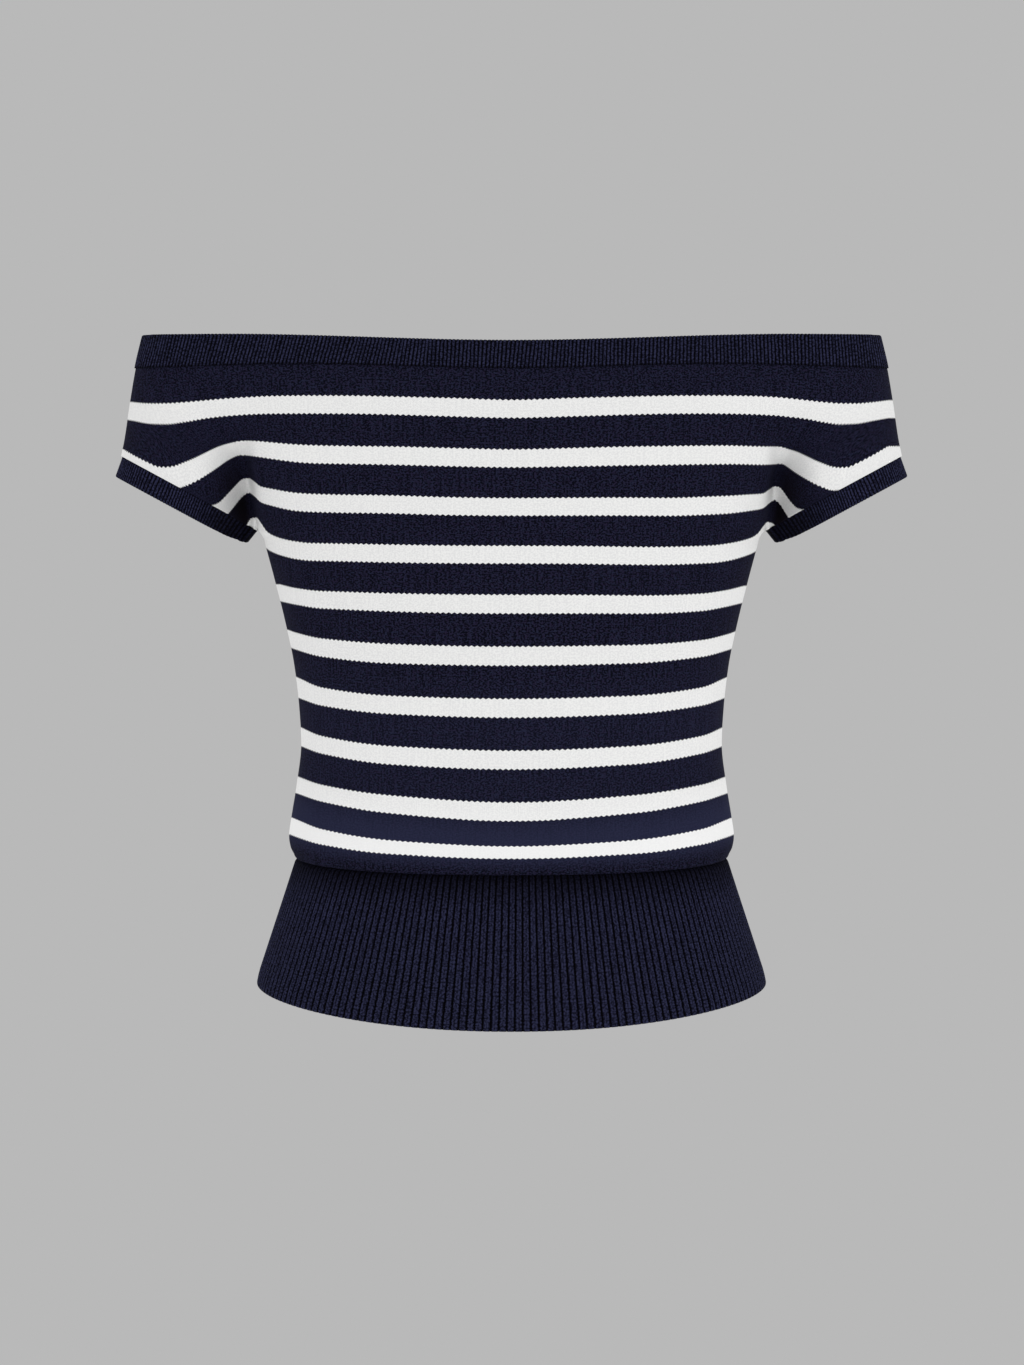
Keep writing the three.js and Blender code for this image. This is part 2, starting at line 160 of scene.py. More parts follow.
def cloth_depth(x, z, side):
    """The further out of body and arm. Where the two are closer than a reach, a quarter of the
    reach times the square of how close they are is added, so the cloth bridges them softly. The
    hollow of the underarm then takes a share away, a bell across that deepens downwards."""
    torso, arm = torso_depth(x, z, side), arm_depth(x, z, side)
    most = np.maximum(np.maximum(torso, arm), 0)
    rise = ease((z - UNDERARM_Z) / (NECK_SEAM_Z - UNDERARM_Z))
    reach = mix(BLEND_AT_UNDERARM, BLEND_AT_NECK, rise) * np.clip(most / BLEND_DEPTH, 0, 1)
    near = np.clip(1 - np.abs(torso - arm) / np.maximum(reach, 1e-6), 0, 1)
    away = np.abs(x) - HOLLOW_X
    width = np.where(away < 0, HOLLOW_BODY_SIDE, HOLLOW_ARM_SIDE)
    hollow = ease((HOLLOW_TOP - z) / (HOLLOW_TOP - HOLLOW_FULL)) * np.exp(-(away / width) ** 2)
    return (most + reach * near ** 2 / 4) * (1 - HOLLOW_SHARE * hollow)


def crease_x(z, side):
    """Where body and arm are equally deep, found by halving the space between them."""
    low, high = arm_inner(z), torso_half_width(z)
    for _ in range(CREASE_HALVINGS):
        x = (low + high) / 2
        outward = torso_depth(x, z, side) > arm_depth(x, z, side)
        low, high = np.where(outward, x, low), np.where(outward, high, x)
    return np.where(z <= UNDERARM_Z, arm_inner(np.full_like(z, UNDERARM_Z)), (low + high) / 2)


# The sleeve's slanting edge, from the underarm to the outside of the arm
cuff_start = np.array([arm_inner(UNDERARM_Z), 0, UNDERARM_Z])
cuff_end = np.array([arm_outer(CUFF_OUTSIDE_Z), 0, CUFF_OUTSIDE_Z])
cuff_across = (cuff_end - cuff_start) / np.linalg.norm(cuff_end - cuff_start)
cuff_down = np.array([cuff_across[2], 0, -cuff_across[0]])


def sleeve_cap(z, t, side):
    """Points of the left sleeve cap: rows z down the crease, a share t of the way to the seam
    outside the arm. In front view each row is ruled straight between the two, and towards the
    cuff it is drawn up by a part of its depth, so the edge looks straight from in front."""
    up = (z - UNDERARM_Z) / (NECK_SEAM_Z - UNDERARM_Z)
    share = mix((1 - np.cos(np.pi * t)) / 2, np.sin(np.pi * t / 2), up)
    outside_z = mix(CUFF_OUTSIDE_Z, NECK_SEAM_Z, up)
    x = mix(crease_x(z, side), arm_outer(outside_z), share)
    z = mix(z, outside_z, share)
    lift = CUFF_LIFT * (1 - up) * ease(share / CUFF_LIFT_START) * cloth_depth(x, z, side)
    return x - cuff_down[0] * lift, z - cuff_down[2] * lift


# Soft folds that run out of the underarm, in front view: start, end, width and height. They
# fade where the cloth is less deep than a given size.
FOLDS_FADE = 20.0
UNDERARM_FOLDS = [
    ((158, -70), (166, -34), 7.0, -1.5),
    ((172, -96), (186, -48), 9.0, 1.2),
    ((146, -96), (118, -70), 8.0, 0.9),
    ((147, -112), (112, -104), 7.0, 0.7),
    ((143, -128), (112, -146), 8.0, 0.6),
]


def fold_relief(x, z):
    """Each fold is a bell across its line, and half a wave, to the power of one and a half, along
    it from end to end."""
    relief = np.zeros_like(x)
    for (x0, z0), (x1, z1), width, height in UNDERARM_FOLDS:
        length = math.hypot(x1 - x0, z1 - z0)
        along = ((np.abs(x) - x0) * (x1 - x0) + (z - z0) * (z1 - z0)) / length ** 2
        across = ((np.abs(x) - x0) * (z1 - z0) - (z - z0) * (x1 - x0)) / length
        inside = np.sin(np.pi * np.clip(along, 0, 1))
        relief += height * inside ** 1.5 * np.exp(-(across / width) ** 2)
    return relief


# Edges of the stripes in the photograph's view, on the upright plane through the middle of the
# top: distance from the centre line, height of the upper edge, height of the lower edge
STRIPES = [
    [(0, -29.6, -40.5), (36.4, -28.5, -39.6), (72.7, -27.6, -38.5), (97, -27.1, -38.0),
     (121.2, -27.0, -37.9), (145.5, -27.3, -38.2), (158.8, -27.9, -38.7), (170.9, -28.6, -39.5),
     (183, -29.8, -40.8), (195.2, -31.0, -43.0), (206.1, -31.7, -44.3), (215.8, -31.8, -44.0),
     (225.5, -31.1, -42.3), (235.2, -29.9, -40.6)],
    [(0, -59.6, -70.5), (36.4, -58.8, -69.9), (72.7, -57.9, -69.1), (97, -57.6, -68.7),
     (121.2, -57.2, -68.3), (145.5, -56.5, -67.0), (155.2, -56.1, -66.3), (162.4, -56.0, -65.7),
     (166.1, -56.3, -65.6), (170.9, -57.3, -67.4), (177, -59.1, -71.7), (183, -61.9, -75.8),
     (189.1, -65.0, -79.6), (195.2, -67.7, -82.4), (201.2, -69.9, -84.2), (206.1, -70.5, -84.2),
     (210.9, -70.3, -83.0), (215.8, -68.3, -80.6), (225.5, -63.4, -75.0), (235.2, -57.7, -69.7)],
    [(0, -89.1, -99.8), (36, -88.8, -99.6), (73, -88.2, -99.1), (97, -88.1, -99.0),
     (121, -87.4, -98.3), (131, -86.9, -97.7), (145.5, -85.3, -95.3), (152.7, -84.3, -93.5),
     (156.4, -81.8, -90.3), (160, -79.7, -88.2), (163.6, -80.0, -90.0), (167.3, -82.7, -93.9),
     (172.1, -87.9, -100.0), (178.2, -93.9, -106.7), (206, -99.4, -108.5)],
    [(0, -118.0, -128.8), (73, -118.0, -128.8), (121, -117.2, -127.8), (131, -116.1, -126.6),
     (138, -114.8, -124.9), (145.5, -112.4, -122.2), (149, -110.1, -120.0),
     (152.5, -105.4, -115.9), (155.4, -102.3, -112.8), (158.8, -103.0, -115.1),
     (162.4, -107.9, -120.6), (206, -126.7, -135.7)],
    [(0, -147.7, -159.1), (72.7, -147.5, -158.5), (115, -146.3, -156.8), (131, -144.3, -154.2),
     (141, -141.9, -151.9)],
    [(0, -179.1, -190.7), (72.7, -177.9, -189.3), (115, -174.8, -185.3), (131, -171.2, -181.1),
     (136, -169.4, -179.2)],
    [(0, -210.8, -222.2), (72.7, -209.0, -220.0), (115, -204.0, -214.9), (131, -197.4, -209.7)],
    [(0, -242.2, -253.6), (72.7, -239.5, -250.6), (115, -233.4, -244.0), (131, -226.7, -238.2)],
    [(0, -273.6, -285.0), (72.7, -269.4, -280.3), (115, -263.0, -273.1), (131, -257.6, -267.9)],
    [(0, -300.3, -307.6), (72.7, -296.7, -304.8), (115, -289.9, -299.1), (131, -283.8, -294.4),
     (134.5, -282.3, -293.0)],
]
PIXELS_A_MM = 1.65
# The middle of the neck band's upper edge: its height, and its row counted from the picture's middle
BAND_EDGE_Z, BAND_EDGE_ROW = 8.5, 337 - PHOTO_HEIGHT_PIXELS / 2
# The stripes hang lower on the left than on the right. On the chest: half the difference, where
# it begins and ends and how soon, and the place and width of its bell from the centre line out
CHEST_LEAN, CHEST_TOP, CHEST_FOOT, CHEST_FADE = 0.9, -60.0, -190.0, 25.0
CHEST_LEAN_X, CHEST_LEAN_WIDTH = 97.0, 45.0
# In the hollow of the underarm: heights and half the difference, and the place and width again
HOLLOW_LEAN = np.array([(-125, 0.2), (-110, 0.8), (-95, 1.9), (-80, 2.4), (-68, 2.8), (-58, 2.0),
                        (-45, 0.5), (-30, 0)])
HOLLOW_LEAN_X, HOLLOW_LEAN_WIDTH = 162.0, 24.0
# Across the sleeves the stripes sit nearer to the body than the table says: distance from the
# centre line, then how much nearer on the left and on the right
NEARER = np.array([(100, 0, 0), (150, 0, 0.6), (160, 0.6, 0.9), (168, 4.2, 1.2), (182, 5.2, -0.8),
                   (201, 6.9, -3.2)])
COURSES_A_REPEAT, COURSES_WHITE = 36, 13
REPEAT, WALE = 30.5, 1.1
# The count goes by the cloth's length from this many rows above the fold, up to a last course
ROWS_BEFORE_FOLD = 4
LAST_COURSE = (len(STRIPES) + 0.95) * COURSES_A_REPEAT


def course_number(points):
    """Counts the knitted rows down to a point: 36 for each repeat of navy and white. The point
    is found in the photograph, whose pixels count as 1.65 to the mm from the middle of the band's
    upper edge, and the count runs evenly from each edge of a stripe to the next. The stripes hang
    a little lower on the left. The back is read as if it faced the camera too, so both panels
    match along their seams."""
    tilt = math.radians(LOOK_DOWN_DEGREES)
    forward = -CAMERA_PLACE[1] / MM - np.abs(points[..., 1])
    rise = points[..., 2] - CAMERA_PLACE[2] / MM
    distance = math.cos(tilt) * forward - math.sin(tilt) * rise
    above = math.sin(tilt) * forward + math.cos(tilt) * rise
    x = FOCAL_PIXELS * points[..., 0] / distance / PIXELS_A_MM
    z = BAND_EDGE_Z + (FOCAL_PIXELS * above / distance + BAND_EDGE_ROW) / PIXELS_A_MM
    hand = np.sign(x)
    x = np.abs(x)
    chest = ease((CHEST_TOP - z) / CHEST_FADE) * ease((z - CHEST_FOOT) / CHEST_FADE)
    chest = CHEST_LEAN * chest * np.exp(-((x - CHEST_LEAN_X) / CHEST_LEAN_WIDTH) ** 2)
    hollow = np.interp(z, HOLLOW_LEAN[:, 0], HOLLOW_LEAN[:, 1])
    hollow = hollow * np.exp(-((x - HOLLOW_LEAN_X) / HOLLOW_LEAN_WIDTH) ** 2)
    z = z + hand * (chest + hollow)
    x = x + np.where(hand > 0, np.interp(x, NEARER[:, 0], NEARER[:, 1]),
                     np.interp(x, NEARER[:, 0], NEARER[:, 2]))
    heights, counts = [], []
    for number, rows in enumerate(STRIPES, 1):
        mirrored = (-rows[1][0],) + rows[1][1:]
        across, upper, lower = np.array([mirrored] + rows).T
        heights += [curve_through(across, upper)(x), curve_through(across, lower)(x)]
        counts += [number, number + COURSES_WHITE / COURSES_A_REPEAT]
    repeats = counts[0] - (z - heights[0]) / REPEAT
    for k in range(len(counts) - 1):
        share = (heights[k] - z) / (heights[k] - heights[k + 1])
        repeats = np.where(share > 0, mix(counts[k], counts[k + 1], share), repeats)
    below = (heights[-1] - z) / REPEAT
    repeats = np.where(below > 0, counts[-1] + below, repeats)
    return repeats * COURSES_A_REPEAT


def weave(numbers, flip):
    """Four-sided faces of a grid of point numbers."""
    a, b = numbers[:-1, :-1], numbers[:-1, 1:]
    c, d = numbers[1:, 1:], numbers[1:, :-1]
    corners = [a, d, c, b] if flip else [a, b, c, d]
    return np.stack(corners, axis=-1).reshape(-1, 4)


def new_piece(name, points, faces, knit, material, node):
    """Puts points in mm, faces and the knit map (wale or rib number, course number) into a mesh
    that rides on the top and stands for its CAD node."""
    mesh = bpy.data.meshes.new(name)
    mesh.from_pydata((points * MM).tolist(), [], faces.tolist())
    corner_points = np.empty(len(mesh.loops), dtype=np.int32)
    mesh.loops.foreach_get("vertex_index", corner_points)
    layer = mesh.uv_layers.new(name="knit")
    layer.data.foreach_set("uv", knit[corner_points].astype(np.float32).ravel())
    mesh.shade_smooth()
    mesh.set_sharp_from_angle(angle=math.radians(SHARP_DEGREES))
    mesh.materials.append(material)
    piece = bpy.data.objects.new(name, mesh)
    bpy.context.scene.collection.objects.link(piece)
    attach(piece, "root")
    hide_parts(node)
    return piece


def wall(sheet, faces, thickness):
    """Closes a sheet to a wall. Its inside is the sheet moved back by the thickness along the
    mean normal of the faces round each point, and a strip joins both along every free edge."""
    count = len(sheet)
    p, q, r, s = (sheet[faces[:, k]] for k in range(4))
    face_normals = np.cross(r - p, s - q)
    normals = np.zeros_like(sheet)
    for k in range(4):
        np.add.at(normals, faces[:, k], face_normals)
    normals /= np.linalg.norm(normals, axis=1, keepdims=True)
    edges = np.concatenate([faces[:, [k, (k + 1) % 4]] for k in range(4)])
    free = edges[~np.isin(edges[:, 0] * count + edges[:, 1], edges[:, 1] * count + edges[:, 0])]
    strip = np.stack([free[:, 1], free[:, 0], free[:, 0] + count, free[:, 1] + count], axis=1)
    points = np.concatenate([sheet, sheet - normals * thickness])
    return points, np.concatenate([faces, faces[:, ::-1] + count, strip])


def panel_sheet(side):
    """Rows run across the panel. Above the underarm each is level over the body, from crease to
    crease, and runs on over both sleeve caps. Below it each row is half a rounded ring, and the
    last ones turn under and up round the fold."""
    s = np.sin(np.pi * (np.linspace(0, 1, BODY_COLUMNS + 1) - 0.5))
    spread = np.sign(s) * np.abs(s) ** (2 / ROUNDNESS)
    z = np.linspace(PANEL_TOP_Z, UNDERARM_Z, YOKE_ROWS + 1)[:, None]
    sleeve_x, sleeve_z = sleeve_cap(z, np.linspace(0, 1, SLEEVE_COLUMNS + 1)[None, 1:], side)
    body_x = spread[None, :] * crease_x(z, side)
    x = np.concatenate([-sleeve_x[:, ::-1], body_x, sleeve_x], axis=1)
    z = np.concatenate([sleeve_z[:, ::-1], z + 0 * body_x, sleeve_z], axis=1)
    depth = cloth_depth(x, z, side)
    yoke = np.stack([x, depth + fold_relief(x, z) * ease(depth / FOLDS_FADE), z], axis=-1)

    z = np.linspace(UNDERARM_Z, TORSO[-1, 0], BODY_ROWS + 1)[1:, None]
    turn = np.linspace(0, np.pi, FOLD_ROWS + 1)[1:, None]
    out = FOLD_OUT + FOLD_RADIUS * np.cos(turn)
    half_width = np.concatenate(
        [torso_half_width(z), WAIST_HALF_WIDTH + out, [[WAIST_HALF_WIDTH]]])
    deep = np.concatenate([torso_depth_of[side](z), WAIST_DEPTH[side] + out, [[WAIST_DEPTH[side]]]])
    z = np.concatenate([z, FOLD_Z - FOLD_RADIUS * np.sin(turn), [[WAIST_Z]]])
    x = spread[None, :] * half_width
    z = z + 0 * x
    depth = section_depth(spread[None, :], deep, ROUNDNESS)
    body = np.stack([x, depth + fold_relief(x, z) * ease(depth / FOLDS_FADE), z], axis=-1)

    sheet = np.concatenate([yoke.reshape(-1, 3), body.reshape(-1, 3)])
    sheet[:, 1] *= side
    yoke_numbers = np.arange(yoke.shape[0] * yoke.shape[1]).reshape(yoke.shape[:2])
    below = yoke_numbers.size + np.arange(body.shape[0] * body.shape[1]).reshape(body.shape[:2])
    on_underarm = yoke_numbers[-1:, SLEEVE_COLUMNS:SLEEVE_COLUMNS + BODY_COLUMNS + 1]
    body_numbers = np.concatenate([on_underarm, below])
    faces = np.concatenate([weave(yoke_numbers, side == FRONT), weave(body_numbers, side == FRONT)])

    # The count of courses runs on round the fold by the length of the cloth
    courses = course_number(sheet)
    rows = sheet[body_numbers]
    lengths = np.linalg.norm(np.diff(rows, axis=0), axis=2)
    first = BODY_ROWS - ROWS_BEFORE_FOLD
    on = np.cumsum(lengths[first:], axis=0) * COURSES_A_REPEAT / REPEAT
    courses[body_numbers[first + 1:]] = courses[body_numbers[first]][None, :] + on
    courses = np.minimum(courses, LAST_COURSE)
    # Wales are counted from the centre line by the length of cloth along each row
    wales = np.zeros(len(sheet))
    for numbers in (yoke_numbers, body_numbers):
        steps = np.linalg.norm(np.diff(sheet[numbers], axis=1), axis=2)
        along = np.concatenate([np.zeros((len(numbers), 1)), np.cumsum(steps, axis=1)], axis=1)
        middle = along[:, numbers.shape[1] // 2][:, None]
        wales[numbers] = (along - middle) / WALE
    return sheet, faces, np.stack([wales, courses], axis=1)


def linear(colour):
    """sRGB hex to linear red, green, blue and full alpha."""
    parts = [int(colour[k:k + 2], 16) / 255 for k in (1, 3, 5)]
    return [c / 12.92 if c <= 0.04045 else ((c + 0.055) / 1.055) ** 2.4 for c in parts] + [1]


def add_node(tree, kind, inputs=None, **settings):
    """A node with its settings. An input is given a number, a colour, or another node's output."""
    node = tree.nodes.new(kind)
    for name, value in settings.items():
        setattr(node, name, value)
    for key, value in (inputs or {}).items():
        if isinstance(value, bpy.types.NodeSocket):
            tree.links.new(value, node.inputs[key])
        else:
            node.inputs[key].default_value = value
    return node


def new_cloth(name):
    """A matt cloth material, without its colour: its tree, its shader, and the two numbers of
    the knit map."""
    material = bpy.data.materials.new(name)
    material.use_nodes = True
    tree = material.node_tree
    tree.nodes.clear()
    shader = add_node(tree, "ShaderNodeBsdfPrincipled", {
        "Roughness": 1.0, "Specular IOR Level": 0.03, "IOR": 1.5})
    add_node(tree, "ShaderNodeOutputMaterial", {"Surface": shader.outputs["BSDF"]})
    knit = add_node(tree, "ShaderNodeUVMap", uv_map="knit")
    split = add_node(tree, "ShaderNodeSeparateXYZ", {0: knit.outputs["UV"]})
    return material, tree, shader, split.outputs["X"], split.outputs["Y"]


def sum_up(tree, operation, a, b=0.0, c=0.0):
    """One step of arithmetic on numbers or outputs."""
    return add_node(tree, "ShaderNodeMath", {0: a, 1: b, 2: c}, operation=operation).outputs[0]


def off_middle(tree, number):
    """How far a number is from half way between two whole ones, nought to a half."""
    return sum_up(tree, "ABSOLUTE", sum_up(tree, "SUBTRACT", sum_up(tree, "FRACT", number), 0.5))


def ramp(tree, value, start, end, low=0.0, high=1.0, kind="SMOOTHSTEP"):
    """Low up to the start, high from the end on, and a smooth or a linear run between them."""
    return add_node(tree, "ShaderNodeMapRange", {
        "Value": value, "From Min": start, "From Max": end, "To Min": low, "To Max": high},
        interpolation_type=kind).outputs["Result"]


def blend(tree, share, first, second):
    """From one colour to another by a share, held between nought and one."""
    return add_node(tree, "ShaderNodeMix", {"Factor": share, 6: first, 7: second},
                    data_type="RGBA", clamp_factor=True).outputs[2]


def speckle(tree, across, along, scale, detail=1.0, roughness=0.6):
    """Noise over the knit map, about nought to one. Its grains are one over the scale wide."""
    place = add_node(tree, "ShaderNodeCombineXYZ", {"X": across, "Y": along}).outputs[0]
    return add_node(tree, "ShaderNodeTexNoise", {
        "Vector": place, "Scale": scale, "Detail": detail, "Roughness": roughness}).outputs["Fac"]


def add_relief(tree, shader, wale, course, loops, strength):
    """Loops in relief: a wave across the wales, and a share of a wave down the courses, which run
    in a zigzag from wale to wale. The relief is 0.2 mm high."""
    zigzag = sum_up(tree, "MULTIPLY_ADD", off_middle(tree, wale), 1.1, course)
    rows = sum_up(tree, "SINE", sum_up(tree, "MULTIPLY", zigzag, 2 * math.pi))
    ridges = sum_up(tree, "COSINE", sum_up(tree, "MULTIPLY", wale, 2 * math.pi))
    height = sum_up(tree, "MULTIPLY_ADD", rows, loops, ridges)
    bump = add_node(tree, "ShaderNodeBump", {
        "Height": height, "Strength": strength, "Distance": 0.2 * MM})
    tree.links.new(bump.outputs["Normal"], shader.inputs["Normal"])


# Painted shade in the fold of the underarm: the ends of its line, as height and distance from the
# centre line, its width towards body and arm, where it begins and how far down it is full
SHADE_LINE = np.array([(-114, 158), (-72, 165)])
SHADE_BODY_SIDE, SHADE_ARM_SIDE = 4.0, 8.0
SHADE_TOP, SHADE_DEEPENS = -62.0, 32.0


def hollow_shade(points):
    """How much painted shade a point takes in the fold of the underarm, nought to one: a bell across
    a slanting line, narrow towards the body, that deepens downwards."""
    x, z = np.abs(points[:, 0]), points[:, 2]
    away = x - np.interp(z, SHADE_LINE[:, 0], SHADE_LINE[:, 1])
    bell = np.exp(-(away / np.where(away < 0, SHADE_BODY_SIDE, SHADE_ARM_SIDE)) ** 2)
    return bell * ease((SHADE_TOP - z) / SHADE_DEEPENS)


# Fine viscose-blend jersey, plain knit: matt and smooth. The loops stand in wales 1.1 mm apart
# and courses 0.85 mm apart, which give the eye a fine grain, faint upright streaks and stripe
# edges with small saw teeth. A tooth is drawn three wales wide, since one is too fine to show.
JERSEY_NAVY_DEEP, JERSEY_NAVY_LIT, JERSEY_NAVY_PLUM = "#090A14", "#212439", "#211D32"
# Among the colours below: a navy and a white for painted sheen low down, a navy for painted shade in
# the underarm fold
JERSEY_NAVY_PAINTED_SHEEN, JERSEY_NAVY_PAINTED_SHADE = "#2B2E47", "#100D13"
JERSEY_WHITE_DEEP, JERSEY_WHITE_LIT, JERSEY_WHITE_PAINTED_SHEEN = "#E7E7E7", "#F2F2F1", "#FBFBFB"
TOOTH_WALES, TOOTH_COURSES, EDGE_COURSES = 3.0, 2.2, 0.1
# Painted sheen low on the body: where it starts, where it grows full and where it fades as the
# cloth turns under, in repeats from the first stripe
SHEEN_STARTS, SHEEN_GROWS, SHEEN_FADES = (6.2, 7.4), (8.9, 9.9), (10.3, 10.65)
# The first step's share of the full painted sheen, and the most of the sheen colours mixed in
FIRST_SHEEN_SHARE, SHEEN_SHARE = 0.15, 0.65

jersey, tree, shader, wale, course = new_cloth("striped_viscose_jersey")
tooth = off_middle(tree, sum_up(tree, "DIVIDE", wale, TOOTH_WALES))
toothed = sum_up(tree, "MULTIPLY_ADD", tooth, TOOTH_COURSES, course)
repeats = sum_up(tree, "DIVIDE", sum_up(tree, "SUBTRACT", toothed, TOOTH_COURSES / 4),
                 COURSES_A_REPEAT)
white_middle = COURSES_WHITE / COURSES_A_REPEAT / 2
from_middle = off_middle(tree, sum_up(tree, "ADD", repeats, 0.5 - white_middle))
soft = EDGE_COURSES / COURSES_A_REPEAT
banded = ramp(tree, from_middle, white_middle + soft, white_middle - soft)
below_yoke = sum_up(tree, "GREATER_THAN", repeats, 0.8)
is_white = sum_up(tree, "MULTIPLY", banded, below_yoke)

grain = speckle(tree, wale, course, 0.85)
streaks = speckle(tree, wale, sum_up(tree, "MULTIPLY", course, 0.05), 0.9, 2.0)
patches = speckle(tree, wale, course, 0.45, roughness=0.5)
uneven = sum_up(tree, "MULTIPLY_ADD", streaks, 2.4, sum_up(
    tree, "MULTIPLY_ADD", grain, 7.0, -4.2))
lit = blend(tree, sum_up(tree, "MULTIPLY_ADD", patches, 3.0, -1.0),
            linear(JERSEY_NAVY_LIT), linear(JERSEY_NAVY_PLUM))
navy = blend(tree, uneven, linear(JERSEY_NAVY_DEEP), lit)
white = blend(tree, uneven, linear(JERSEY_WHITE_DEEP), linear(JERSEY_WHITE_LIT))
# Painted sheen: the last rows above the fold are painted lighter, as if more light fell on them,
# and the fold itself less so
sheen_starting = ramp(tree, repeats, *SHEEN_STARTS, 0.0, FIRST_SHEEN_SHARE)
sheen_growing = ramp(tree, repeats, *SHEEN_GROWS)
sheen_fading = ramp(tree, repeats, *SHEEN_FADES, SHEEN_SHARE, 0.0, "LINEAR")
painted_sheen = sum_up(tree, "MULTIPLY", sheen_fading, sum_up(
    tree, "MULTIPLY_ADD", sheen_growing, 1 - FIRST_SHEEN_SHARE, sheen_starting))
navy = blend(tree, painted_sheen, navy, linear(JERSEY_NAVY_PAINTED_SHEEN))
white = blend(tree, painted_sheen, white, linear(JERSEY_WHITE_PAINTED_SHEEN))
# Painted shade: deep in the fold of the underarm the navy is painted almost black
hollow_painted_shade = add_node(tree, "ShaderNodeAttribute", attribute_name="hollow").outputs["Fac"]
navy = blend(tree, hollow_painted_shade, navy, linear(JERSEY_NAVY_PAINTED_SHADE))
tree.links.new(blend(tree, is_white, navy, white), shader.inputs["Base Color"])
add_relief(tree, shader, wale, course, 0.35, 0.25)

for name, side, flat, area in (("front", FRONT, (0.65, 0.31), 0.128),
                               ("back", BACK, (0.62, 0.308), 0.12)):
    sheet, faces, knit = panel_sheet(side)
    points, faces = wall(sheet, faces, JERSEY_THICKNESS)
    panel = new_piece(name + "_jersey", points, faces, np.tile(knit, (2, 1)), jersey,
                      name)
    # This point attribute holds the painted shade of the underarm fold for the jersey material
    shade = panel.data.attributes.new("hollow", "FLOAT", "POINT")
    shade.data.foreach_set("value", hollow_shade(points).astype(np.float32))

# Neck band
# One loop of fine rib, about 430 ribs round, that runs over both upper arms and holds the top
# up by its stretch. It is knitted double, folded over at its upper edge and linked to the panels.
NECK_RIBS, NECK_RIB_RAISE, NECK_BAND_THICKNESS = 432, 0.55, 2.2
NECK_ROWS, LINE_STEPS = 9, 1440
NECK_DIP, NECK_DIP_HALF_WIDTH, NECK_BACK_DROP = 3.7, 168.0, 0.8
NECK_SEAM_WAVE, NECK_SEAM_WAVE_HALF = 1.2, 120.0
NECK_PROUD = 0.3
# How many ribs a rib leans over from seam to edge: the mean, and what slow and quick waves add
NECK_LEAN, NECK_LEAN_SLOW, NECK_LEAN_QUICK = 0.9, 0.5, 0.15
SLOW_WAVES, QUICK_WAVES = [2, 3, 5, 8, 11], [29, 47, 71]
# Over the arms the band lies flat and its ribs spread: the share of the depth that still counts
# in their spacing, the distance from the centre line where that begins, and how soon it is full
ARM_DEPTH_SHARE, ARM_FLAT_FROM, ARM_FLAT_FADE = 0.55, 180.0, 30.0
# One rib: how far along it each point lies, and how much of the rib's height it has
FINE_RIB = np.array([(0, 0), (0.17, 0.62), (0.34, 0.95), (0.5, 1), (0.66, 0.95), (0.83, 0.62)])


def evenly(line, ribs, profile, lean=0.0, measured=None):
    """Points along a closed line, at the same shares of its length in each rib. The length may
    be measured along another line with as many points."""
    closed = np.concatenate([line, line[:1]])
    ruler = closed if measured is None else np.concatenate([measured, measured[:1]])
    lengths = np.concatenate([[0], np.cumsum(np.linalg.norm(np.diff(ruler, axis=0), axis=1))])
    shares = (np.arange(ribs)[:, None] + profile[None, :, 0]).ravel() / ribs
    at = np.mod(shares + lean, 1) * lengths[-1]
    return np.stack([np.interp(at, lengths, closed[:, k]) for k in range(3)], axis=1)


def ribbed_band(rows, profile, ribs, raised, thickness, lip_rows=5):
    """A band through closed rows of points, from its seam to its free edge. The outside is
    raised by the rib's profile along the normal, which is the cross product of the directions
    along and down the band. A half round lip turns over the free edge, and the inside runs
    back to the seam one thickness in. Returns the points, the faces and the knit map."""
    along = np.roll(rows, -1, axis=1) - np.roll(rows, 1, axis=1)
    along /= np.linalg.norm(along, axis=2, keepdims=True)
    down = np.gradient(rows, axis=0)
    down -= along * (down * along).sum(axis=2, keepdims=True)
    down /= np.linalg.norm(down, axis=2, keepdims=True)
    normal = np.cross(along, down)
    outward = rows - rows.mean(axis=(0, 1))
    normal *= np.sign((normal * outward).sum())
    rib = np.tile(profile[:, 1], ribs)[None, :, None]
    raised = np.asarray(raised, float).reshape(-1, 1, 1)
    outside = rows + normal * rib * raised
    turn = np.linspace(0, np.pi, lip_rows + 2)[1:-1].reshape(-1, 1, 1)
    half = thickness / 2
    edge = rows[-1] - normal[-1] * half
    lip = edge + normal[-1] * (half * np.cos(turn) + rib * raised[-1] * np.cos(turn / 2) ** 2)
    lip = lip + down[-1] * (half + rib * raised[-1] * 0.5) * np.sin(turn)
    inside = (rows - normal * thickness)[::-1]
    grid = np.concatenate([outside, lip, inside])
    count = rows.shape[1]
    numbers = np.arange(grid.shape[0] * count).reshape(-1, count)
    numbers = np.concatenate([numbers, numbers[:, :1]], axis=1)
    numbers = np.concatenate([numbers, numbers[:1]])
    points = grid.reshape(-1, 3)
    faces = weave(numbers, False)
    middle = len(rows) // 2
    p, q, r, s = points[faces[middle * count]]
    if np.cross(r - p, s - q) @ normal[middle, 0] < 0:
        faces = faces[:, ::-1]
    rib_numbers = (np.arange(ribs)[:, None] + profile[None, :, 0]).ravel()
    lengths = np.linalg.norm(np.diff(grid, axis=0), axis=2).mean(axis=1)
    courses = np.concatenate([[0], np.cumsum(lengths)])
    knit = np.stack(np.broadcast_arrays(rib_numbers[None, :], courses[:, None]), axis=-1)
    return points, faces, knit.reshape(-1, 2)


